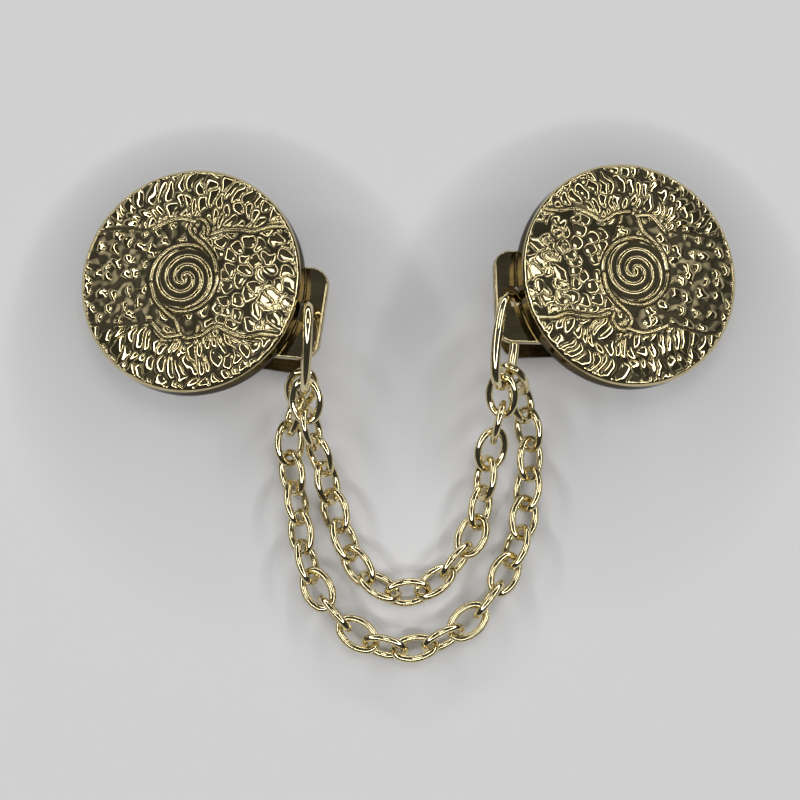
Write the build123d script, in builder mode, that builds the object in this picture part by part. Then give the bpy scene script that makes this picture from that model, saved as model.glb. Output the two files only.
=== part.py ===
from build123d import *
from collections import namedtuple
from math import asin, cos, degrees, dist, radians, sin, sqrt, tan
import os

os.makedirs("parts", exist_ok=True)

# A cardigan clip: two sprung clips, each under a cast round disc, joined by two strands of cable chain.
# Millimetres, +Z up. Both clips lie on their lower arms, and the origin is on that surface, under the
# middle of the whole thing. +X runs from the left clip to the right one and +Y away from the chain.

# Discs
disc_diameter = 25.0
disc_wall = 2.4
dome_rise = 1.9
disc_setback = 1.0  # the disc's middle lies this far from the pin, toward the jaws

# Cast relief on the discs
relief_height = 0.25
relief_rim = 0.4  # bare edge round the relief
ridge_width = 0.38
spiral_step = 0.95  # from one spiral ridge to the next
spiral_half_turns = 4
grain_length = 1.4
grain_width = 0.5
grain_spacing = 1.35
pebble_diameter = 0.95
pebble_spacing = 1.5

# Arms
arm_width = 10.3
arm_thickness = 0.8
jaw_reach = 12.5  # pin axis to the jaw's tip
lever_showing = 2.4  # the upper lever reaches this far out from under the disc
lower_lever = 11.5  # pin axis to the end of the lower lever
shut_angle = 14.2  # between the arms when the jaws are shut
jaw_lip = 1.25
jaw_length = 1.0
jaw_clearance = 0.05
lever_corner = 2.0
jaw_corner = 3.0
edge_round = 0.25

# Hinge
pin_diameter = 1.6
pin_clearance = 0.05
pin_overhang = 0.4
ear_thickness = 0.8
ear_gap = 0.1
ear_radius = 1.9
ear_base = 5.0

# Spring
spring_wire = 0.7
coil_clearance = 0.3  # round the pin
coil_pitch = 0.8
coil_turns = 4
leg_lean = 10.0  # between each leg and the arm that it pushes on
leg_clearance = 0.02

# Jump rings
ring_length = 11.0
ring_width = 6.3
ring_end_radius = 2.2
ring_wire = 1.1
ring_play = 1.2  # the hole is this much wider than the ring's wire
hole_inset = 2.0  # lever's end to the hole's middle

# Chain
link_length = 5.4
link_width = 3.85
link_end_radius = 1.2
link_wire = 0.84
hook_gap = 0.15  # between an end link and the ring that it passes through
rest_gap = 0.02  # between the links and the surface
steepest_step = 0.4  # from one resting hook to the next
route_steps = 4000  # a strand's route is read at this many steps
pitch_halvings = 24  # and its link pitch found by this many halvings

# Where the clips lie: the pin's place, the lever's heading, and how far the disc sits off the arm's
# middle line and is turned.
Clip = namedtuple("Clip", "name x y heading disc_offset relief_turn")
clips = [
    Clip("left", -22.0, 11.6, -8.2, 1.9, 8.2),
    Clip("right", 21.8, 12.4, 181.8, -2.3, -1.8),
]

# How the jump rings lean: the step from the middle of the lever's hole to the ring's middle, the heading
# and dip of the ring's length toward the chain, and its roll about that length.
Lean = namedtuple("Lean", "across along up heading dip roll")
leans = {
    "left": Lean(0.0, -3.83, -0.06, -92.8, 35.3, 87.6),
    "right": Lean(-0.62, -4.77, -0.70, -95.8, 12.7, 115.6),
}

# The strands: where the end links pass round each ring's end, the heights of the three hooks beside
# each ring, and the roll of each link about the strand, 0 where the link lies flat.
Strand = namedtuple("Strand", "name left_angle left_heights right_angle right_heights rolls")
strands = [
    Strand(
        "chain_long", -65, (4.3, 2.95, 2.15), -90, (4.25, 2.55, 1.7),
        (-10, 65, -30, 45, -50, 45, -55, 20, 90, -15, 60, -35)
        + (65, -10, -85, 25, -50, 30, -40, 40, -45, 40, -55),
    ),
    Strand(
        "chain_short", 32, (6.35, 4.4, 2.75), -4, (6.1, 4.1, 2.65),
        (10, -55, 55, -45, 40, -45, 45, -45, 45, -40, 70, -20, 50, -55, 20, 90, -20),
    ),
]
routes = {
    "chain_long": [
        (-12.5, 0.6), (-13.3, -2.0), (-13.1, -5.4), (-12.1, -11.8), (-10.7, -18.1), (-7.4, -22.9),
        (-2.0, -25.9), (4.2, -24.6), (9.3, -19.8), (12.3, -13.6), (13.4, -7.1), (13.3, -0.5), (12.3, 2.1),
    ],
    "chain_short": [
        (-11.7, 0.9), (-10.6, -2.3), (-9.6, -5.4), (-7.8, -11.7), (-5.3, -17.3), (-2.7, -19.4), (0.5, -19.8),
        (3.8, -17.8), (6.3, -15.0), (8.1, -9.5), (9.2, -3.3), (9.9, -0.8),
    ],
}

# Relief layout, as shares of the disc's radius: the spiral's middle, the long curved borders through
# three points each, and the fields of grains and pebbles between a first and a last angle.
spiral_middle = (0.0, -0.01)
Border = namedtuple("Border", "start middle end")
borders = [
    Border((-0.78, 0.50), (-0.38, 0.50), (-0.09, 0.54)),
    Border((0.24, 0.44), (0.54, 0.45), (0.84, 0.40)),
    Border((-0.88, -0.37), (-0.50, -0.33), (-0.22, -0.50)),
    Border((0.13, -0.51), (0.24, -0.42), (0.43, -0.51)),
    Border((0.24, 0.02), (0.20, 0.32), (0.04, 0.52)),
    Border((-0.36, 0.04), (-0.30, -0.26), (-0.05, -0.50)),
]
Field = namedtuple("Field", "radius first last")
grain_rows = [
    Field(0.62, 50, 128),
    Field(0.76, 40, 138),
    Field(0.89, 34, 144),
    Field(0.64, 238, 300),
    Field(0.77, 224, 312),
    Field(0.89, 212, 326),
]
pebble_rows = [
    Field(0.50, 160, 196),
    Field(0.63, 156, 198),
    Field(0.76, 152, 200),
    Field(0.89, 150, 202),
]
curl_rows = [
    Field(0.42, 342, 362),
    Field(0.60, 334, 378),
    Field(0.80, 330, 380),
]
curl_radius = 0.055
curl_sweep = 210
curl_spacing = 0.24

# Sizes that follow from those above
disc_radius = disc_diameter / 2
dome_radius = (disc_radius**2 + dome_rise**2) / (2 * dome_rise)
upper_lever = disc_radius - disc_setback + lever_showing
hinge_gap = jaw_lip + jaw_clearance + jaw_reach * tan(radians(shut_angle / 2))
pin_height = arm_thickness + hinge_gap
coil_radius = pin_diameter / 2 + coil_clearance + spring_wire / 2
ring_hole = ring_wire + ring_play
hook_reach = ring_end_radius - ring_wire / 2 - link_wire / 2 - hook_gap
link_half_length = (link_length - link_wire) / 2


def dome_section(lift):
    """Half section of the disc, its dome raised by lift."""
    with BuildLine() as outline:
        Polyline((0, disc_wall + dome_rise + lift), (0, 0), (disc_radius, 0), (disc_radius, disc_wall + lift))
        CenterArc(
            (0, disc_wall + dome_rise + lift - dome_radius),
            dome_radius,
            90 - degrees(asin(disc_radius / dome_radius)),
            degrees(asin(disc_radius / dome_radius)),
        )
    make_face(outline.edges())


def share(point):
    """A point of the relief layout in millimetres."""
    return (point[0] * disc_radius, point[1] * disc_radius)


def spiral_ridges():
    """Two spiral arms of half circles that start together in the middle."""
    middle = Vector(*share(spiral_middle))
    for side in (1, -1):
        for turn in range(spiral_half_turns):
            swing = Vector(side * spiral_step / 2 * (1 if turn % 2 else -1), 0)
            start = 90 - 90 * side + 180 * turn
            with BuildLine() as arm:
                CenterArc(middle + swing, spiral_step * (turn + 0.5), start, 180)
            trace(arm.line, ridge_width)


def row_angles(row, spacing):
    """Angles that share a row's length out at about the spacing."""
    span = row.last - row.first
    count = max(round(radians(span) * row.radius * disc_radius / spacing), 1)
    return [row.first + span * (place + 0.5) / count for place in range(count)]


def relief_sketch():
    """The raised lines and grains, seen from above."""
    spiral_ridges()
    for border in borders:
        with BuildLine() as ridge:
            ThreePointArc(share(border.start), share(border.middle), share(border.end))
        trace(ridge.line, ridge_width)
    for row in grain_rows:
        for angle in row_angles(row, grain_spacing):
            with PolarLocations(row.radius * disc_radius, 1, start_angle=angle):
                SlotOverall(grain_length, grain_width)
    for row in pebble_rows:
        for angle in row_angles(row, pebble_spacing):
            with PolarLocations(row.radius * disc_radius, 1, start_angle=angle):
                Circle(pebble_diameter / 2)
    for row in curl_rows:
        for place, angle in enumerate(row_angles(row, curl_spacing * disc_radius)):
            middle = Vector(row.radius * disc_radius, 0).rotate(Axis.Z, angle)
            with BuildLine() as curl:
                CenterArc(middle, curl_radius * disc_radius, angle + 180 * (place % 2), curl_sweep)
            trace(curl.line, ridge_width)


def make_disc():
    """Domed disc with its flat back on the XY plane and the cast relief on its face."""
    with BuildPart() as relief:
        with BuildSketch(Plane.XY.offset(disc_wall / 2)):
            relief_sketch()
            Circle(disc_radius - relief_rim, mode=Mode.INTERSECT)
        extrude(amount=disc_wall + dome_rise)
        with BuildSketch(Plane.XZ):
            dome_section(relief_height)
        revolve(axis=Axis.Z, mode=Mode.INTERSECT)
    with BuildPart() as disc:
        with BuildSketch(Plane.XZ):
            dome_section(0)
        revolve(axis=Axis.Z)
        add(relief.part)
    return disc.part


def plate_outline(lever):
    """The arm's plate from above: jaw end at -X, lever end at +X."""
    with Locations(((lever - jaw_reach) / 2, 0)):
        Rectangle(lever + jaw_reach, arm_width)
    fillet(vertices().group_by(Axis.X)[-1], lever_corner)
    fillet(vertices().group_by(Axis.X)[0], jaw_corner)


def make_arm(lever, ear_face, hole):
    """Arm about its pin axis: the plate lies above the pin, the ears and the lip reach down from it."""
    with BuildPart() as arm:
        with BuildSketch(Plane.XY.offset(hinge_gap)):
            plate_outline(lever)
        extrude(amount=arm_thickness)
        fillet(arm.edges().group_by(Axis.Z)[-1], edge_round)
        with BuildSketch(Plane.XY.offset(hinge_gap - jaw_lip)):
            plate_outline(lever)
            with Locations((jaw_length / 2 - jaw_reach, 0)):
                Rectangle(jaw_length, arm_width, mode=Mode.INTERSECT)
        extrude(amount=jaw_lip)
        for face in (ear_face, ear_thickness - ear_face):
            with BuildSketch(Plane.XZ.offset(-face)):
                Circle(ear_radius)
                with Locations((0, hinge_gap + arm_thickness / 4)):
                    Rectangle(ear_base, arm_thickness / 2)
                make_hull()
            extrude(amount=ear_thickness)
        Cylinder(
            pin_diameter / 2 + pin_clearance,
            arm_width + pin_overhang,
            rotation=(90, 0, 0),
            mode=Mode.SUBTRACT,
        )
        if hole:
            with Locations((lever - hole_inset, 0, hinge_gap + arm_thickness / 2)):
                Cylinder(ring_hole / 2, 2 * arm_thickness, mode=Mode.SUBTRACT)
    return arm.part


def make_pin():
    """Plain pin along Y."""
    with BuildPart() as pin:
        Cylinder(pin_diameter / 2, arm_width + 2 * pin_overhang, rotation=(90, 0, 0))
    return pin.part


def make_spring():
    """Coil about Z with two straight legs that part by the angle between the arms and both leans."""
    turns = coil_turns + (180 - shut_angle - 2 * leg_lean) / 360
    lean = radians(leg_lean)
    leg = (hinge_gap - leg_clearance - spring_wire / 2 - coil_radius * cos(lean)) / sin(lean)
    with BuildPart() as spring:
        with BuildLine():
            coil = Helix(coil_pitch, coil_pitch * turns, coil_radius, center=(0, 0, -coil_pitch * turns / 2))
            first = Line(coil @ 0 - (coil % 0) * leg, coil @ 0)
            Line(coil @ 1, coil @ 1 + (coil % 1) * leg)
        with BuildSketch(Plane(origin=first @ 0, z_dir=first % 0)):
            Circle(spring_wire / 2)
        sweep()
    return spring.part


def make_oval(length, width, end_radius, wire):
    """Closed oval of round wire in the XY plane, its length along X: two end arcs and two side arcs."""
    half_length = (length - wire) / 2
    half_width = (width - wire) / 2
    end_middle = half_length - end_radius
    side_radius = (end_middle**2 + half_width**2 - end_radius**2) / (2 * (half_width - end_radius))
    side_angle = degrees(asin(end_middle / (side_radius - end_radius)))
    with BuildPart() as oval:
        with BuildLine():
            top = CenterArc((0, half_width - side_radius), side_radius, 90 - side_angle, 2 * side_angle)
            CenterArc((-end_middle, 0), end_radius, 90 + side_angle, 180 - 2 * side_angle)
            CenterArc((0, side_radius - half_width), side_radius, 270 - side_angle, 2 * side_angle)
            CenterArc((end_middle, 0), end_radius, side_angle - 90, 180 - 2 * side_angle)
        with BuildSketch(Plane(origin=top @ 0, z_dir=top % 0)):
            Circle(wire / 2)
        sweep()
    return oval.part


def rolled_plane(origin, direction, roll):
    """Plane whose X axis runs along the direction and whose Y axis is level at a roll of 0."""
    level = Vector(0, 0, 1).cross(direction).normalized()
    above = direction.cross(level)
    across = level * cos(radians(roll)) + above * sin(radians(roll))
    return Plane(origin=origin, x_dir=direction, z_dir=direction.cross(across))


def clip_location(clip):
    """The clip's own frame: on the surface under the pin, +X toward its lever."""
    return Location((clip.x, clip.y, 0), (0, 0, clip.heading))


def arm_location(clip, upper):
    """The frame of one arm about the pin: the lower arm is turned over, the upper one opened."""
    turn = (0, -shut_angle, 0) if upper else (180, 0, 0)
    return clip_location(clip) * Location((0, 0, pin_height), turn)


def ring_plane(clip):
    """The jump ring's own plane, X along its length toward the chain."""
    lean = leans[clip.name]
    hole = arm_location(clip, True) * Location((upper_lever - hole_inset, 0, hinge_gap + arm_thickness / 2))
    heading = radians(lean.heading)
    dip = radians(lean.dip)
    length_way = Vector(cos(heading) * cos(dip), sin(heading) * cos(dip), -sin(dip))
    return rolled_plane(hole.position + Vector(lean.across, lean.along, lean.up), length_way, lean.roll)


def ring_crossing(ring, angle):
    """Where the wire of a strand's end link crosses the inside of its ring, round the ring's end."""
    bend = (ring_length - ring_wire) / 2 - ring_end_radius
    turn = radians(angle)
    return ring.from_local_coords(Vector(bend + hook_reach * cos(turn), hook_reach * sin(turn), 0))


def resting_heights(rolls):
    """Hook heights of a strand that lies on the surface, each held up by the two links that it joins."""
    lifts = [(link_width - link_wire) / 2 * abs(sin(radians(roll))) for roll in rolls]
    pairs = zip(lifts[:1] + lifts, lifts + lifts[-1:])
    heights = [link_wire / 2 + rest_gap + max(pair) for pair in pairs]
    return [
        max(height - steepest_step * abs(here - there) for there, height in enumerate(heights))
        for here in range(len(heights))
    ]


def walk(track, heights, pitch):
    """Hooks one pitch apart along the plan track, and whether the track was long enough."""
    end_span = link_half_length + pitch / 2
    spans = [end_span] + [pitch] * (len(heights) - 3) + [end_span]
    hooks = [track[0]]
    place = 0
    for low, high, span in zip(heights, heights[1:], spans):
        level = sqrt(span**2 - (high - low) ** 2)
        while place < len(track) - 1 and dist(track[place], hooks[-1]) < level:
            place += 1
        hooks.append(track[place])
    return hooks, place < len(track) - 1


def link_planes(strand, start, end):
    """The plane of each link, from the left ring's crossing to the right ring's."""
    heights = resting_heights(strand.rolls)
    heights[0] = start.Z
    heights[-1] = end.Z
    for step, height in enumerate(strand.left_heights, start=1):
        heights[step] = max(heights[step], height)
    for step, height in enumerate(strand.right_heights, start=2):
        heights[-step] = max(heights[-step], height)
    curve = Spline((start.X, start.Y), *routes[strand.name], (end.X, end.Y), mode=Mode.PRIVATE)
    places = [curve.position_at(step / route_steps) for step in range(route_steps + 1)]
    track = [(place.X, place.Y) for place in places]
    shortest = link_width / 2
    longest = link_length
    for _ in range(pitch_halvings):
        pitch = (shortest + longest) / 2
        hooks, enough = walk(track, heights, pitch)
        if enough:
            shortest = pitch
        else:
            longest = pitch
    points = [Vector(*hook, height) for hook, height in zip(hooks, heights)]
    points[-1] = end
    planes = []
    for near, far, roll in zip(points, points[1:], strand.rolls):
        way = (far - near).normalized()
        middle = near + way * pitch / 2 if far == end else far - way * pitch / 2
        planes.append(rolled_plane(middle, way, roll))
    return planes


def place_piece(label, shape, *locations):
    """One node: the shape at each location."""
    with BuildPart() as piece:
        with Locations(*locations):
            add(shape)
    piece.part.label = label
    export_step(piece.part, f"parts/{label}.step")


disc = make_disc()
upper_arm = make_arm(upper_lever, arm_width / 2, True)
lower_arm = make_arm(lower_lever, arm_width / 2 - ear_thickness - ear_gap, False)
pin = make_pin()
spring = make_spring()
ring = make_oval(ring_length, ring_width, ring_end_radius, ring_wire)
link = make_oval(link_length, link_width, link_end_radius, link_wire)

coil_turn = shut_angle / 2 - 270 + (shut_angle + 2 * leg_lean) / 2
rings = {}
for clip in clips:
    upper = arm_location(clip, True)
    on_top = Location((-disc_setback, clip.disc_offset, hinge_gap + arm_thickness), (0, 0, clip.relief_turn))
    round_pin = Location((0, 0, pin_height), (90, 0, 0)) * Location((0, 0, 0), (0, 0, coil_turn))
    rings[clip.name] = ring_plane(clip)
    place_piece(f"{clip.name}_disc", disc, upper * on_top)
    place_piece(f"{clip.name}_upper_arm", upper_arm, upper)
    place_piece(f"{clip.name}_lower_arm", lower_arm, arm_location(clip, False))
    place_piece(f"{clip.name}_hinge_pin", pin, clip_location(clip) * Location((0, 0, pin_height)))
    place_piece(f"{clip.name}_spring", spring, clip_location(clip) * round_pin)
    place_piece(f"{clip.name}_jump_ring", ring, rings[clip.name].location)

for strand in strands:
    start = ring_crossing(rings["left"], strand.left_angle)
    end = ring_crossing(rings["right"], strand.right_angle)
    place_piece(strand.name, link, *[plane.location for plane in link_planes(strand, start, end)])
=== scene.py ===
import bpy
import math
import numpy as np
from collections import namedtuple
from mathutils import Matrix, Vector


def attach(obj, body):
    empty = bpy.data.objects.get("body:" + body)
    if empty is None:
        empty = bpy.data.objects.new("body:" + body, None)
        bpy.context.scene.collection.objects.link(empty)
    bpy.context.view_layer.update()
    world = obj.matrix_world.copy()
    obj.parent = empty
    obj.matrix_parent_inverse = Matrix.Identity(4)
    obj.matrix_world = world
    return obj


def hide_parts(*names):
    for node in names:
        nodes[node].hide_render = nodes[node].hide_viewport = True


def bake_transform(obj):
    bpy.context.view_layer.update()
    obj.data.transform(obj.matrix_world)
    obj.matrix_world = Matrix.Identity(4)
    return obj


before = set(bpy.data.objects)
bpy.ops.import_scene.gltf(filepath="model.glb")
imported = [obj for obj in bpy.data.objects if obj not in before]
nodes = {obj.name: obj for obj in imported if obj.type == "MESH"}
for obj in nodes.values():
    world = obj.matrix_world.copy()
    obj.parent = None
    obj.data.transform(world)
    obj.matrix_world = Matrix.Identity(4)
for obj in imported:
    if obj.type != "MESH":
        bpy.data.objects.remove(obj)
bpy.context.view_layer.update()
scene = bpy.context.scene
MM = 0.001

# Sizes in millimetres and angles in degrees, as in the part's source
DISC_RADIUS = 12.5
DISC_WALL = 2.4
DOME_RISE = 1.9
DOME_RADIUS = (DISC_RADIUS**2 + DOME_RISE**2) / (2 * DOME_RISE)
DISC_SETBACK = 1.0
ARM_THICKNESS = 0.8
JAW_REACH = 12.5
JAW_LIP = 1.25
JAW_CLEARANCE = 0.05
SHUT_ANGLE = 14.2
HINGE_GAP = JAW_LIP + JAW_CLEARANCE + JAW_REACH * math.tan(math.radians(SHUT_ANGLE / 2))
PIN_HEIGHT = ARM_THICKNESS + HINGE_GAP

Oval = namedtuple("Oval", "length width end_radius wire")
LINK = Oval(5.4, 3.85, 1.2, 0.84)
JUMP_RING = Oval(11.0, 6.3, 2.2, 1.1)

# Each clip: its pin's place, the lever's heading, how far the disc sits off the arm's middle line and is
# turned, how far the relief's middle lies from the disc's, and the seed of its grains
Clip = namedtuple("Clip", "x y heading disc_offset relief_turn layout_shift seed")
CLIPS = {
    "left": Clip(-22.0, 11.6, -8.2, 1.9, 8.2, (0.53, -0.46), 7),
    "right": Clip(21.8, 12.4, 181.8, -2.3, -1.8, (0.76, -0.2), 8),
}

# Disc's surface, in millimetres
GRID = 286  # squares along each side of the grid that is drawn onto the disc
GRID_CLEARANCE = 0.01
RELIEF_HEIGHT = 0.3
RELIEF_SINK = 0.07  # the grooves lie this far under the part's dome
RIM_ROUND = 0.45
RIM_DROP = 0.35
EDGE_WIDTH = 0.55  # bare edge round the relief
EDGE_BLEND = 0.2
EDGE_HEIGHT = 0.6  # in shares of the relief's height, as are all heights below
WALL_VALUE = 0.5  # the relief's value on the wall, above most of the grooves' tarnish and painted shade
SHARP_ANGLE = 55

# Rings of points down the disc's wall: the height in shares of the wall, and the inset
WALL_RINGS = ((0.88, 0.0), (0.66, 0.0), (0.35, 0.0), (0.06, 0.0), (0.0, 0.12))

# Bands of waves that bend, shake and warp the grains: how many waves, and the shortest and longest of them
BEND = 0.22
BEND_WAVES = (12, 3.0, 6.0)
SHAKE = 0.06
SHAKE_WAVES = (16, 1.1, 2.0)
WARP = 0.25
WARP_WAVES = (16, 1.6, 2.6)
WARP_START = 5.0
WARP_WIDTH = 4.0

# Grains: a cap's radius is in shares of a cell, and a groove has a share of the height and a width
CELL_TABLE = 83  # the scatter repeats after this many cells
CELL_REACH = 2  # cells looked at to each side
CAP_FOOT = 0.03  # softens the foot of a cap
CAP_VARIES = 0.05

# Each fan of grains: the Y that they spread from, the radius at which they are as wide as the width says, and
# their width and length
Fan = namedtuple("Fan", "foot middle_radius width length")
UPPER_FAN = Fan(-4.5, 13.0, 1.0, 2.05)
LOWER_FAN = Fan(1.5, 10.5, 0.98, 2.1)
FAN_JITTER = 0.26
FAN_HEIGHT = 0.85
FAN_CAP = 0.62
FAN_GROOVE = (0.3, 0.15)

PEBBLE_SPACING = 1.65
PEBBLE_JITTER = 0.32
PEBBLE_HEIGHT = 0.8
PEBBLE_CAP = 0.37
PEBBLE_POWER = 2.5
GROUND_HEIGHT = 0.22
GROUND_WAVES = (24, 0.9, 1.8)

BLOCK_WIDTH = 1.45
BLOCK_LENGTH = 1.5
BLOCK_JITTER = 0.4
BLOCK_HEIGHT = 0.75
BLOCK_CAP = 0.64
BLOCK_GROOVE = (0.4, 0.14)
HOLLOW_DEPTH = 0.3
HOLLOW_RADIUS = 0.4
HOLLOW_SLOPE = 0.3
BLOCKS_START = 0.8
BLOCKS_BLEND = 1.2

# Medallion with its two spiral arms
SPIRAL_MIDDLE = (-0.62, 0.22)
SPIRAL_STEP = 0.98
SPIRAL_HEIGHT = 0.65
SPIRAL_HALF_WIDTH = 0.25
KNOB_RADIUS = 0.5
KNOB_SLOPE = 0.3
MEDALLION_RADIUS = 3.75
MEDALLION_HEIGHT = 0.75
MEDALLION_HALF_WIDTH = 0.18
MEDALLION_CLEAR = 0.25

# Long lines, in shares of the disc's radius. Two S arms carry the medallion's rim on. The borders part the
# fields, and the left ones start as plain seams beside the pebbles.
UPPER_ARM_LINE = [
    (0.245, 0.06), (0.215, 0.19), (0.13, 0.305), (0.035, 0.385), (-0.005, 0.45), (0.03, 0.525),
    (0.11, 0.535), (0.165, 0.47), (0.16, 0.40),
]
LOWER_ARM_LINE = [
    (-0.345, -0.02), (-0.31, -0.15), (-0.225, -0.26), (-0.13, -0.345), (-0.095, -0.42), (-0.07, -0.49),
    (0.0, -0.525), (0.07, -0.49), (0.085, -0.42),
]
TOP_LEFT_BORDER = [
    (-0.90, 0.44), (-0.72, 0.505), (-0.52, 0.49), (-0.36, 0.47), (-0.22, 0.53), (-0.10, 0.555), (0.03, 0.525),
]
TOP_RIGHT_BORDER = [(0.20, 0.40), (0.30, 0.43), (0.45, 0.425), (0.58, 0.405), (0.72, 0.44), (0.90, 0.43)]
LOW_LEFT_BORDER = [
    (-0.93, -0.36), (-0.70, -0.37), (-0.50, -0.37), (-0.34, -0.36), (-0.27, -0.44), (-0.20, -0.50),
    (-0.07, -0.49),
]
LOW_RIGHT_BORDER = [
    (0.0, -0.525), (0.12, -0.50), (0.25, -0.43), (0.36, -0.485), (0.50, -0.535), (0.66, -0.515),
    (0.82, -0.545),
]
SEAM_END = 3  # number of the point where a left border's seam ends
TOP_SPLIT = 0.4  # where the top's left border gives over to its right one, in millimetres
LOW_SPLIT = 0.2
ARM_LINE_HEIGHT = 0.95
RIGHT_BORDER_HEIGHT = 0.8
LEFT_BORDER_HEIGHT = 0.7
SEAM_HEIGHT = 0.1
LINES = (
    (UPPER_ARM_LINE, ARM_LINE_HEIGHT),
    (LOWER_ARM_LINE, ARM_LINE_HEIGHT),
    (TOP_LEFT_BORDER[SEAM_END:], LEFT_BORDER_HEIGHT),
    (TOP_RIGHT_BORDER, RIGHT_BORDER_HEIGHT),
    (LOW_LEFT_BORDER[SEAM_END:], LEFT_BORDER_HEIGHT),
    (LOW_RIGHT_BORDER, RIGHT_BORDER_HEIGHT),
    (TOP_LEFT_BORDER[: SEAM_END + 1], SEAM_HEIGHT),
    (LOW_LEFT_BORDER[: SEAM_END + 1], SEAM_HEIGHT),
)
LINE_HALF_WIDTH = 0.2
LINE_CLEAR = 0.28  # half the cleared strip along a line of full height
CLEAR_SLOPE = 0.25
LINE_REACH = 1.5
FAR = 99.0  # stands for any distance out of reach
CURVE_STEPS = 14

# Wire ovals: steps along each side and end, and round the wire
SIDE_STEPS = 30
END_STEPS = 24
ROUND_STEPS = 36
MERGE_DIGITS = 7  # points that agree to this many digits, in metres, are one

# Metal
CLOUD_STOPS = (0.3, 0.62)
GRAIN_SCALE = 2600
GRAIN_STOPS = (0.3, 0.7)
BUMP_DEPTH = 0.0004
# Tarnish and painted shade in the relief's grooves: their colour, and how much of it each relief height takes
TARNISH_AND_SHADE = (0.05, 0.043, 0.025)
TARNISH_AND_SHADE_STOPS = [(0.12, 1.0), (0.35, 0.35), (0.6, 0.0)]
TARNISH_ROUGHNESS = 0.45
# Painted shade on the disc's wall: a dark colour, and a tint that dims its reflection
WALL_SHADE_COLOUR = (0.26, 0.22, 0.14)
WALL_SHADE_TINT = (0.3, 0.3, 0.32)
PLAIN_TINT = (1.0, 1.0, 1.0)

# Floor and camera, in metres unless a name says more
FLOOR_HALF = 1.5
FLOOR_COLOUR = (0.74, 0.74, 0.75)
FLOOR_ROUGHNESS = 0.9
CAMERA_PLACE = Vector((-9.32, -47.40, 295.75)) * MM
CAMERA_AIM = Vector((-0.9, 2.2, 0)) * MM
FOCAL_LENGTH_MM = 120.3
SENSOR_MM = 36

# Lights: a ring of panels and a softbox above. A light's place is given by the surfaces that mirror it to the
# camera, as their tilt east and north of the camera's axis in degrees.
LIGHT_DISTANCE = 0.55
RING_MIDDLE = (0.0, 12.0)
RING_TILT = 26.0
RING_BAND = 0.034
RING_PANELS = 24
RING_RADIANCE = 13.0
UPPER_CORNER_DIM = 0.6
TOP_MIDDLE = (1.0, 9.0)
TOP_SIZE = 0.18
TOP_RADIANCE = 3.0

# World: brightness by the upward part of the direction, 0 at the horizon and below, 1 straight up
SKY_STOPS = [(0.0, 0.06), (0.25, 0.05), (0.42, 0.04), (0.66, 0.04), (0.78, 0.07), (1.0, 0.09)]


# Tools for the relief
def smooth(t):
    """Goes smoothly from 0 to 1 as t does."""
    t = np.clip(t, 0, 1)
    return t * t * (3 - 2 * t)


def curve_through(points):
    """Smooth polyline through the points, a Catmull-Rom curve."""
    path = np.array([points[0], *points, points[-1]], float)
    t = np.linspace(0, 1, CURVE_STEPS, endpoint=False)[:, None]
    stretches = []
    for a, b, c, d in zip(path, path[1:], path[2:], path[3:]):
        bends = (c - a) * t + (2 * a - 5 * b + 4 * c - d) * t**2 + (3 * b - a - 3 * c + d) * t**3
        stretches.append(0.5 * (2 * b + bends))
    return np.vstack([*stretches, points[-1]])


def line_distance(xy, line):
    """Distance of each point from a polyline, or FAR where it is well away."""
    low = line.min(0) - LINE_REACH
    high = line.max(0) + LINE_REACH
    near = ((xy > low) & (xy < high)).all(1)
    points = xy[near]
    shortest = np.full(len(points), FAR)
    for start, end in zip(line, line[1:]):
        step = end - start
        share = np.clip(((points - start) @ step) / (step @ step), 0, 1)
        shortest = np.minimum(shortest, np.hypot(*(points - start - share[:, None] * step).T))
    distance = np.full(len(xy), FAR)
    distance[near] = shortest
    return distance


def ridge(distance, half_width):
    """Cross profile of a raised line with a round top."""
    return np.exp(-((distance / half_width) ** 4))


def waves(rng, x, y, count, shortest, longest):
    """Band of plane waves in all directions, of about unit size."""
    total = np.zeros(len(x))
    for _ in range(count):
        turns = 2 * math.pi / rng.uniform(shortest, longest)
        heading = rng.uniform(-math.pi, math.pi)
        along = x * math.cos(heading) + y * math.sin(heading)
        total += np.cos(turns * along + rng.uniform(0, 2 * math.pi))
    return total * math.sqrt(2 / count)


def swell(field):
    """Rounded lumps from a band of waves, 0 to 1."""
    return 1 / (1 + np.exp(-2 * field))


def cells(rng, u, v, jitter):
    """Scattered points, one to each unit square, every other row moved by half. Gives how far the nearest is,
    how much further the next is, and a number from -1 to 1 that belongs to the nearest."""
    table = rng.uniform(-1, 1, (3, CELL_TABLE, CELL_TABLE))
    row = np.floor(v).astype(int)
    near = np.full(len(u), FAR)
    second = near.copy()
    kind = np.zeros(len(u))
    for up_rows in range(-CELL_REACH, CELL_REACH + 1):
        j = row + up_rows
        shift = 0.5 * (j % 2)
        column = np.floor(u - shift).astype(int)
        for across in range(-CELL_REACH, CELL_REACH + 1):
            i = column + across
            east, north, own = table[:, i % CELL_TABLE, j % CELL_TABLE]
            distance = np.hypot(u - i - 0.5 - shift - jitter * east, v - j - 0.5 - jitter * north)
            closer = distance < near
            second = np.where(closer, near, np.minimum(second, distance))
            near = np.where(closer, distance, near)
            kind = np.where(closer, own, kind)
    return near, second - near, kind


def cap(near, base, power=3.0):
    """Cap of the base radius on level ground, flatter on top the higher the power."""
    rise = 1 - (near / base) ** power
    return (rise + np.sqrt(rise**2 + CAP_FOOT)) / 2


def grooves(gap, floor, width):
    """1 on a grain and the floor's share where it meets the next one."""
    return floor + (1 - floor) * smooth(gap / width)


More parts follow.
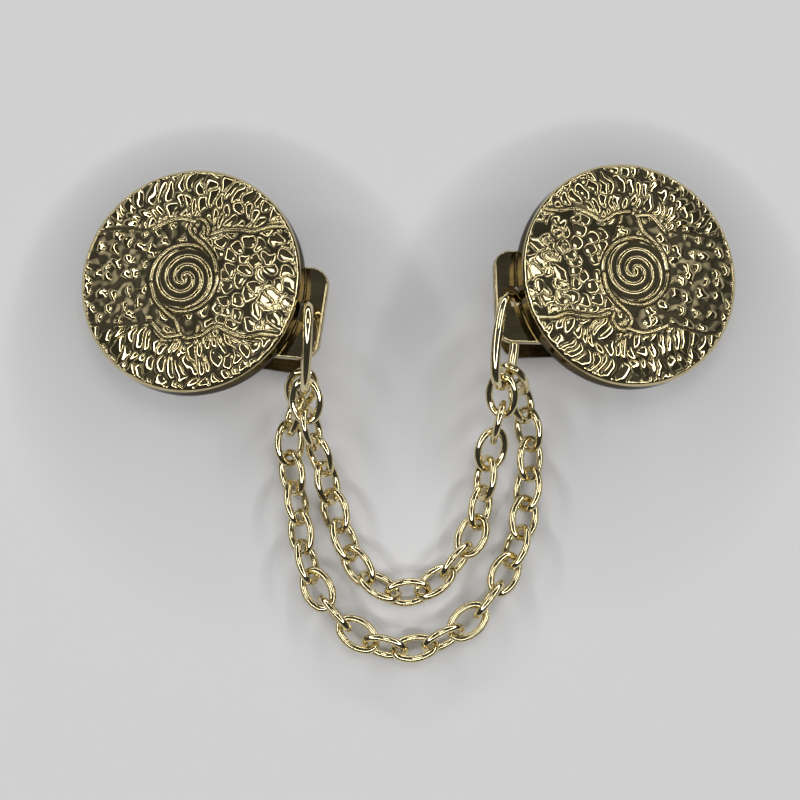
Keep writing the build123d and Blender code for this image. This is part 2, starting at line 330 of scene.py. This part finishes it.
# Fields of the relief
def fan_field(rng, x, y, fan, bend, shake):
    """Long grains that spread from the fan's foot."""
    outward = y - fan.foot
    reach = np.hypot(x, outward)
    along = np.arctan2(x, outward * math.copysign(1, -fan.foot)) * fan.middle_radius
    u = (along + bend + shake) / fan.width
    v = (reach + bend - shake) / fan.length
    near, gap, kind = cells(rng, u, v, FAN_JITTER)
    return FAN_HEIGHT * cap(near, FAN_CAP + CAP_VARIES * kind) * grooves(gap, *FAN_GROOVE)


def pebble_field(rng, x, y, shake):
    """Scattered round pebbles on a softly lumpy ground."""
    u = (x + 2 * shake) / PEBBLE_SPACING
    v = (y - 2 * shake) / PEBBLE_SPACING
    near, _, kind = cells(rng, u, v, PEBBLE_JITTER)
    ground = GROUND_HEIGHT * swell(waves(rng, x, y, *GROUND_WAVES))
    return ground + PEBBLE_HEIGHT * cap(near, PEBBLE_CAP + CAP_VARIES * kind, PEBBLE_POWER)


def block_field(rng, x, y, shake):
    """Larger blocks, some of them hollow on top, which melt together toward the rim."""
    warp = WARP * smooth((x - WARP_START) / WARP_WIDTH) * waves(rng, x, y, *WARP_WAVES)
    u = (x + warp + shake) / BLOCK_WIDTH
    v = (y - warp - shake) / BLOCK_LENGTH
    near, gap, kind = cells(rng, u, v, BLOCK_JITTER)
    hollow = HOLLOW_DEPTH * smooth(2 * kind) * smooth((HOLLOW_RADIUS - near) / HOLLOW_SLOPE)
    return BLOCK_HEIGHT * (cap(near, BLOCK_CAP) - hollow) * grooves(gap, *BLOCK_GROOVE)


def spiral_field(radius, angle):
    """Two spiral arms and the knob in their middle."""
    phase = radius / SPIRAL_STEP + angle / math.pi
    off = np.abs(phase - np.round(phase)) * SPIRAL_STEP
    arms = SPIRAL_HEIGHT * ridge(off, SPIRAL_HALF_WIDTH)
    knob = SPIRAL_HEIGHT * smooth((KNOB_RADIUS - radius) / KNOB_SLOPE)
    return np.maximum(arms, knob)


def border_height(border, x):
    """Y of a border at each x, in millimetres."""
    points = np.array(border) * DISC_RADIUS
    return np.interp(x, points[:, 0], points[:, 1])


def between_borders(x, y):
    """True in the field of pebbles and blocks, between the top and the low borders."""
    top = np.where(x < TOP_SPLIT, border_height(TOP_LEFT_BORDER, x), border_height(TOP_RIGHT_BORDER, x))
    low = np.where(x < LOW_SPLIT, border_height(LOW_LEFT_BORDER, x), border_height(LOW_RIGHT_BORDER, x))
    return (y <= top) & (y >= low)


def with_line(height, distance, raised, half_width, half_clear):
    """The relief with a raised line on it, and the grains cleared from beside the line."""
    clear = smooth((distance - half_clear) / CLEAR_SLOPE)
    return np.maximum(height * clear, raised * ridge(distance, half_width))


def relief_field(xy, seed):
    """Height of the relief at each point, from 0 in the grooves to 1 on the ridges."""
    rng = np.random.default_rng(seed)
    x, y = xy.T
    bend = BEND * waves(rng, x, y, *BEND_WAVES)
    shake = SHAKE * waves(rng, x, y, *SHAKE_WAVES)
    upper = fan_field(rng, x, y, UPPER_FAN, bend, shake)
    lower = fan_field(rng, x, y, LOWER_FAN, bend, shake)
    pebbles = pebble_field(rng, x, y, shake)
    blocks = block_field(rng, x, y, shake)

    blockiness = smooth((x - BLOCKS_START) / BLOCKS_BLEND)
    height = np.where(y > 0, upper, lower)
    height = np.where(between_borders(x, y), pebbles * (1 - blockiness) + blocks * blockiness, height)

    east, north = (xy - np.array(SPIRAL_MIDDLE)).T
    radius = np.hypot(east, north)
    height = np.where(radius < MEDALLION_RADIUS, spiral_field(radius, np.arctan2(north, east)), height)
    from_rim = np.abs(radius - MEDALLION_RADIUS)
    height = with_line(height, from_rim, MEDALLION_HEIGHT, MEDALLION_HALF_WIDTH, MEDALLION_CLEAR)
    for line, raised in LINES:
        curve = curve_through(np.array(line) * DISC_RADIUS)
        height = with_line(height, line_distance(xy, curve), raised, LINE_HALF_WIDTH, LINE_CLEAR * raised)

    from_middle = np.minimum(np.hypot(x, y), DISC_RADIUS)
    edge = smooth((from_middle - (DISC_RADIUS - EDGE_WIDTH)) / EDGE_BLEND)
    return height + (EDGE_HEIGHT - height) * edge


# Discs
def turn(axis, angle):
    """Rotation about an axis by an angle in degrees."""
    return Matrix.Rotation(math.radians(angle), 4, axis)


def disc_matrix(clip):
    """The disc's own frame, in millimetres."""
    ground = Matrix.Translation((clip.x, clip.y, 0))
    pin = ground @ turn("Z", clip.heading) @ Matrix.Translation((0, 0, PIN_HEIGHT))
    on_top = Matrix.Translation((-DISC_SETBACK, clip.disc_offset, HINGE_GAP + ARM_THICKNESS))
    return pin @ turn("Y", -SHUT_ANGLE) @ on_top @ turn("Z", clip.relief_turn)


def square_on_disc(squares):
    """A square grid of points drawn onto the unit disc."""
    t = np.linspace(-1, 1, squares + 1)
    a, b = np.meshgrid(t, t, indexing="xy")
    a, b = a.ravel(), b.ravel()
    wide = np.abs(a) > np.abs(b)
    big = np.where(wide, a, b)
    small = np.where(wide, b, a)
    angle = np.where(big == 0, 0, math.pi / 4 * small / np.where(big == 0, 1, big))
    angle = np.where(wide, angle, math.pi / 2 - angle)
    return np.stack([big * np.cos(angle), big * np.sin(angle)], 1)


def point_values(mesh, name, values):
    """Gives each point of the mesh its number, for the material to read."""
    attribute = mesh.attributes.new(name, "FLOAT", "POINT")
    attribute.data.foreach_set("value", values.astype(np.float32))


def link_mesh(name, verts, faces):
    """New object from vertices in metres and faces."""
    mesh = bpy.data.meshes.new(name)
    mesh.from_pydata(verts.tolist(), [], faces)
    mesh.update()
    obj = bpy.data.objects.new(name, mesh)
    scene.collection.objects.link(obj)
    return obj


def disc_top(clip):
    """Points of the disc's top in its own frame, and the height of the relief at each."""
    xy = square_on_disc(GRID) * (DISC_RADIUS - GRID_CLEARANCE)
    radius = np.hypot(*xy.T)
    shift = np.array(clip.layout_shift) * (1 - (radius / DISC_RADIUS) ** 2)[:, None]
    height = relief_field(xy - shift, clip.seed)
    dome = DISC_WALL + DOME_RISE - DOME_RADIUS + np.sqrt(DOME_RADIUS**2 - radius**2)
    rounding = np.clip((radius - (DISC_RADIUS - RIM_ROUND)) / RIM_ROUND, 0, 1) ** 2
    z = dome + height * RELIEF_HEIGHT - RELIEF_SINK - RIM_DROP * rounding
    return np.column_stack([xy, z]), height


def make_disc(side):
    """Cast disc with its relief, wall and flat back."""
    top, height = disc_top(CLIPS[side])
    index = np.arange(len(top)).reshape(GRID + 1, GRID + 1)
    squares = np.stack([index[:-1, :-1], index[:-1, 1:], index[1:, 1:], index[1:, :-1]], -1)
    faces = squares.reshape(-1, 4).tolist()
    rim = np.concatenate([index[0, :-1], index[:-1, -1], index[-1, :0:-1], index[:0:-1, 0]])
    verts = [top]
    upper = rim
    for level, inset in WALL_RINGS:
        ring = top[rim].copy()
        ring[:, :2] *= (DISC_RADIUS - inset) / DISC_RADIUS
        ring[:, 2] = level * DISC_WALL
        lower = len(rim) * (len(verts) - 1) + len(top) + np.arange(len(rim))
        faces += np.stack([upper, lower, np.roll(lower, -1), np.roll(upper, -1)], -1).tolist()
        verts.append(ring)
        upper = lower
    faces.append(upper[::-1].tolist())

    place = disc_matrix(CLIPS[side])
    rotation = np.array(Matrix(place.to_3x3()))
    verts = np.vstack(verts) * MM @ rotation.T + np.array(place.translation) * MM
    disc = link_mesh(f"{side}_disc_relief", verts, faces)
    on_wall = np.arange(len(verts)) >= len(top)
    point_values(disc.data, "relief", np.concatenate([height, np.full(len(verts) - len(top), WALL_VALUE)]))
    point_values(disc.data, "wall", on_wall)
    disc.data.polygons.foreach_set("use_smooth", [True] * (len(faces) - 1) + [False])
    disc.data.set_sharp_from_angle(angle=math.radians(SHARP_ANGLE))
    return disc


# Ovals of wire: the chain's links and the jump rings
def separate_solids(mesh):
    """The triangles of each separate solid in a mesh, as arrays of their three corners' places."""
    mesh.calc_loop_triangles()
    places = np.empty(len(mesh.vertices) * 3)
    mesh.vertices.foreach_get("co", places)
    corners = np.empty(len(mesh.loop_triangles) * 3, dtype=int)
    mesh.loop_triangles.foreach_get("vertices", corners)
    places, merged = np.unique(np.round(places.reshape(-1, 3), MERGE_DIGITS), axis=0, return_inverse=True)
    corners = merged.reshape(-1)[corners].reshape(-1, 3)
    label = np.arange(len(places))
    settled = False
    while not settled:
        lowest = label[corners].min(1)
        fresh = label.copy()
        for corner in corners.T:
            np.minimum.at(fresh, corner, lowest)
        fresh = fresh[fresh]
        settled = (fresh == label).all()
        label = fresh
    return [places[corners[label[corners[:, 0]] == own]] for own in np.unique(label)]


def middle_and_axes(triangles):
    """A solid's middle, and its axes from the longest to the shortest, from its surface's second moments."""
    sides = triangles[:, 1:] - triangles[:, :1]
    area = np.linalg.norm(np.cross(sides[:, 0], sides[:, 1]), axis=1) / 2
    middle = (area[:, None] * triangles.mean(1)).sum(0) / area.sum()
    corners = triangles - middle
    total = corners.sum(1)
    spread = np.einsum("t,tci,tcj->ij", area, corners, corners) + np.einsum("t,ti,tj->ij", area, total, total)
    axes = np.linalg.eigh(spread)[1][:, ::-1]
    axes[:, 2] = np.cross(axes[:, 0], axes[:, 1])
    return middle, axes


def oval_mesh(oval):
    """Vertices in millimetres and faces of one oval, its length along X. Its ends and sides are arcs that
    meet without a corner."""
    half_length = (oval.length - oval.wire) / 2
    half_width = (oval.width - oval.wire) / 2
    end_middle = half_length - oval.end_radius
    side_radius = (end_middle**2 + half_width**2 - oval.end_radius**2) / (2 * (half_width - oval.end_radius))
    side_angle = math.asin(end_middle / (side_radius - oval.end_radius))
    end_arc = (end_middle, oval.end_radius, math.pi / 2 - side_angle, END_STEPS)
    side_arc = (half_width - side_radius, side_radius, side_angle, SIDE_STEPS)
    upward = np.array([0, 0, 1])
    verts = []
    for quarter, (reach, radius, half, steps) in enumerate((end_arc, side_arc, end_arc, side_arc)):
        facing = quarter * math.pi / 2
        arc_middle = reach * np.array([math.cos(facing), math.sin(facing), 0])
        for angle in np.linspace(facing - half, facing + half, steps, endpoint=False):
            outward = np.array([math.cos(angle), math.sin(angle), 0])
            for roll in np.linspace(0, 2 * math.pi, ROUND_STEPS, endpoint=False):
                from_wire = math.cos(roll) * outward + math.sin(roll) * upward
                verts.append(arc_middle + radius * outward + oval.wire / 2 * from_wire)
    index = np.arange(len(verts)).reshape(-1, ROUND_STEPS)
    ahead = np.roll(index, -1, 0)
    faces = np.stack([index, ahead, np.roll(ahead, -1, 1), np.roll(index, -1, 1)], -1).reshape(-1, 4)
    return np.array(verts), faces


def make_ovals(name, oval):
    """Smooth wire over each oval of the node of that name."""
    shape, faces = oval_mesh(oval)
    places = [middle_and_axes(solid) for solid in separate_solids(nodes[name].data)]
    verts = np.vstack([middle + shape * MM @ axes.T for middle, axes in places])
    quads = np.vstack([faces + k * len(shape) for k in range(len(places))])
    obj = link_mesh(f"{name}_wire", verts, quads.tolist())
    obj.data.polygons.foreach_set("use_smooth", [True] * len(quads))
    return obj


# Springs
def make_wound_spring(side):
    """The spring's own mesh, in place, on an object of its own."""
    spring = nodes[f"{side}_spring"]
    mesh = spring.data.copy()
    mesh.transform(spring.matrix_world)
    wound = bpy.data.objects.new(f"{side}_spring_wound", mesh)
    scene.collection.objects.link(wound)
    return wound


# Materials
def new_material(name):
    """Empty material with its node tree and shader."""
    material = bpy.data.materials.new(name)
    material.use_nodes = True
    return material, material.node_tree, material.node_tree.nodes["Principled BSDF"]


def add_node(tree, kind, **values):
    """Node with its settings, and its inputs where a name starts with in_."""
    added = tree.nodes.new(kind)
    for key, value in values.items():
        if key.startswith("in_"):
            added.inputs[key[3:]].default_value = value
        else:
            setattr(added, key, value)
    return added


def ramp(tree, source, stops):
    """Colour ramp over the stops, each a place with a colour or a grey."""
    added = tree.nodes.new("ShaderNodeValToRGB")
    elements = added.color_ramp.elements
    while len(elements) < len(stops):
        elements.new(0.5)
    for element, (place, colour) in zip(elements, stops):
        element.position = place
        element.color = (*colour, 1) if isinstance(colour, tuple) else (colour, colour, colour, 1)
    tree.links.new(source, added.inputs[0])
    return added.outputs[0]


def mixed(tree, factor, first, second):
    """Colour from the first to the second by the factor. The first may be another node's colour."""
    mix = add_node(tree, "ShaderNodeMix", data_type="RGBA")
    tree.links.new(factor, mix.inputs["Factor"])
    if isinstance(first, tuple):
        mix.inputs["A"].default_value = (*first, 1)
    else:
        tree.links.new(first, mix.inputs["A"])
    mix.inputs["B"].default_value = (*second, 1)
    return mix.outputs["Result"]


def tarnish_and_shade(tree, shader, colour, rough):
    """Tarnish and painted shade in the grounds of a disc's relief, and painted shade on its wall: a dark
    colour and a dimmed reflection. Gives the new colour and roughness.
    """
    relief = add_node(tree, "ShaderNodeAttribute", attribute_name="relief")
    wall = add_node(tree, "ShaderNodeAttribute", attribute_name="wall")
    # Painted shade with tarnish: the lower the relief, the darker and rougher the metal
    tarnish_and_shade_mask = ramp(tree, relief.outputs["Fac"], TARNISH_AND_SHADE_STOPS)
    colour = mixed(tree, tarnish_and_shade_mask, colour, TARNISH_AND_SHADE)
    # Painted shade on the wall: a dark colour and a dimmed reflection
    colour = mixed(tree, wall.outputs["Fac"], colour, WALL_SHADE_COLOUR)
    tint = mixed(tree, wall.outputs["Fac"], PLAIN_TINT, WALL_SHADE_TINT)
    tree.links.new(tint, shader.inputs["Specular Tint"])
    rougher = add_node(tree, "ShaderNodeMix", data_type="FLOAT")
    tree.links.new(tarnish_and_shade_mask, rougher.inputs["Factor"])
    tree.links.new(rough, rougher.inputs[2])
    rougher.inputs[3].default_value = TARNISH_ROUGHNESS
    return colour, rougher.outputs[0]


def metal(name, bright, dull, smoothest, roughest, cloud_scale=700, bump=0.02, reflection_streaks=1.0, tarnished_and_shaded=False):
    """Metal in clouds of two tones, with a fine grain. Reflection streaks above 1 draw the clouds out along X
    into bands of painted reflection.
    """
    material, tree, shader = new_material(name)
    link = tree.links.new
    place = add_node(tree, "ShaderNodeTexCoord").outputs["Object"]
    drawn = add_node(tree, "ShaderNodeMapping", in_Scale=(1, reflection_streaks, reflection_streaks))
    link(place, drawn.inputs["Vector"])
    cloud = add_node(tree, "ShaderNodeTexNoise", in_Scale=cloud_scale, in_Detail=6, in_Roughness=0.6)
    link(drawn.outputs["Vector"], cloud.inputs["Vector"])
    grain = add_node(tree, "ShaderNodeTexNoise", in_Scale=GRAIN_SCALE, in_Detail=4, in_Roughness=0.65)
    link(place, grain.inputs["Vector"])
    colour = ramp(tree, cloud.outputs["Fac"], list(zip(CLOUD_STOPS, (dull, bright))))
    rough = ramp(tree, grain.outputs["Fac"], list(zip(GRAIN_STOPS, (smoothest, roughest))))
    if tarnished_and_shaded:
        colour, rough = tarnish_and_shade(tree, shader, colour, rough)
    link(colour, shader.inputs["Base Color"])
    link(rough, shader.inputs["Roughness"])
    shader.inputs["Metallic"].default_value = 1.0
    bumps = add_node(tree, "ShaderNodeBump", in_Strength=bump, in_Distance=BUMP_DEPTH)
    link(grain.outputs["Fac"], bumps.inputs["Height"])
    link(bumps.outputs["Normal"], shader.inputs["Normal"])
    return material


def paint(obj, material):
    """Gives the object that material alone."""
    obj.data.materials.clear()
    obj.data.materials.append(material)


# The cast disc takes tarnish and painted shade in its grooves, and painted shade on its wall
cast = metal("cast_gold", (0.68, 0.58, 0.33), (0.58, 0.48, 0.25), 0.03, 0.08, bump=0.003, tarnished_and_shaded=True)
# The upper arm's plate: dark and bright bands drawn out along it are painted reflections of a curved,
# polished plate
plate = metal("gold_plate", (0.62, 0.52, 0.29), (0.34, 0.28, 0.16), 0.05, 0.12, 180, bump=0.01, reflection_streaks=4.0)
# Painted shade: the lower arm is the same gold plate, darkened where it lies in shade under the upper arm
painted_shade_plate = metal("painted_shade_plate", (0.20, 0.155, 0.085), (0.12, 0.095, 0.05), 0.15, 0.3, 300)
wire = metal("gold_wire", (0.80, 0.70, 0.44), (0.70, 0.60, 0.35), 0.03, 0.07, 900, bump=0.0015)
pin_metal = metal("pin_metal", (0.72, 0.62, 0.40), (0.6, 0.5, 0.3), 0.25, 0.4)
steel = metal("spring_wire", (0.62, 0.60, 0.55), (0.5, 0.48, 0.44), 0.22, 0.38)

NODE_MATERIALS = {
    "disc": cast,
    "upper_arm": plate,
    "lower_arm": painted_shade_plate,
    "hinge_pin": pin_metal,
    "spring": steel,
    "jump_ring": wire,
    "chain_long": wire,
    "chain_short": wire,
}
for name, obj in nodes.items():
    for ending, material in NODE_MATERIALS.items():
        if name.endswith(ending):
            paint(obj, material)

# The pieces that stand for CAD nodes
for side in CLIPS:
    disc = make_disc(side)
    paint(disc, cast)
    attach(disc, "clip_pair")
    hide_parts(f"{side}_disc")

for name, oval in (
    ("left_jump_ring", JUMP_RING),
    ("right_jump_ring", JUMP_RING),
    ("chain_long", LINK),
    ("chain_short", LINK),
):
    ovals = make_ovals(name, oval)
    paint(ovals, wire)
    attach(ovals, "clip_pair")
    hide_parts(name)

# Each spring's mesh is copied onto an object of its own, with its place baked in, and the node is hidden
for side in CLIPS:
    wound = make_wound_spring(side)
    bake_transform(wound)
    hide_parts(f"{side}_spring")

# Floor
corners = np.array([(-1, -1, 0), (1, -1, 0), (1, 1, 0), (-1, 1, 0)]) * FLOOR_HALF
floor = link_mesh("floor", corners, [(0, 1, 2, 3)])
floor_material, _, shader = new_material("floor")
shader.inputs["Base Color"].default_value = (*FLOOR_COLOUR, 1)
shader.inputs["Roughness"].default_value = FLOOR_ROUGHNESS
paint(floor, floor_material)


# Camera
def placed(place, x_axis, y_axis, z_axis):
    """Matrix of an object at the place, with those axes."""
    return Matrix.Translation(place) @ Matrix((x_axis, y_axis, z_axis)).transposed().to_4x4()


lens = bpy.data.cameras.new("camera")
lens.lens = FOCAL_LENGTH_MM
lens.sensor_width = SENSOR_MM
camera = bpy.data.objects.new("camera", lens)
back = (CAMERA_PLACE - CAMERA_AIM).normalized()
right = Vector((0, 1, 0)).cross(back).normalized()
up = back.cross(right)
camera.matrix_world = placed(CAMERA_PLACE, right, up, back)
scene.collection.objects.link(camera)
scene.camera = camera


# Lights
def mirrored(east, north):
    """Direction that a surface mirrors to the camera when it is tilted that far from the camera's axis."""
    tilt = math.hypot(east, north)
    sideways = (right * east + up * north) / tilt
    return back * math.cos(math.radians(2 * tilt)) + sideways * math.sin(math.radians(2 * tilt))


def softbox(name, place, across, width, height, radiance):
    """Flat light at the place, turned to the origin."""
    light = bpy.data.lights.new(name, "AREA")
    light.shape = "RECTANGLE"
    light.size = width
    light.size_y = height
    light.energy = radiance * math.pi * width * height
    obj = bpy.data.objects.new(name, light)
    away = place.normalized()
    along = away.cross(across.normalized())
    obj.matrix_world = placed(place, along.cross(away), along, away)
    scene.collection.objects.link(obj)


def ring_angle(step):
    """Angle of a step round the ring, from east to north."""
    return 2 * math.pi * step / RING_PANELS


def ring_point(step):
    """Place of a step round the ring of panels."""
    east = RING_MIDDLE[0] + RING_TILT * math.cos(ring_angle(step))
    north = RING_MIDDLE[1] + RING_TILT * math.sin(ring_angle(step))
    return mirrored(east, north) * LIGHT_DISTANCE


def ring_radiance(step):
    """Radiance of a panel, dimmer to the north-east and north-west."""
    upper_corner = max(0.0, math.sin(ring_angle(step))) * abs(math.sin(2 * ring_angle(step)))
    return RING_RADIANCE * (1 - UPPER_CORNER_DIM * upper_corner)


for k in range(RING_PANELS):
    across = ring_point(k + 0.5) - ring_point(k - 0.5)
    softbox(f"softbox_{k}", ring_point(k), across, across.length, RING_BAND, ring_radiance(k))
softbox("softbox_top", mirrored(*TOP_MIDDLE) * LIGHT_DISTANCE, right, TOP_SIZE, TOP_SIZE, TOP_RADIANCE)

# World
scene.view_settings.view_transform = "Standard"
scene.world = bpy.data.worlds.new("studio")
scene.world.use_nodes = True
tree = scene.world.node_tree
background = tree.nodes["Background"]
coord = add_node(tree, "ShaderNodeTexCoord")
split = add_node(tree, "ShaderNodeSeparateXYZ")
tree.links.new(coord.outputs["Generated"], split.inputs[0])
tree.links.new(ramp(tree, split.outputs["Z"], SKY_STOPS), background.inputs["Color"])
background.inputs["Strength"].default_value = 1.0

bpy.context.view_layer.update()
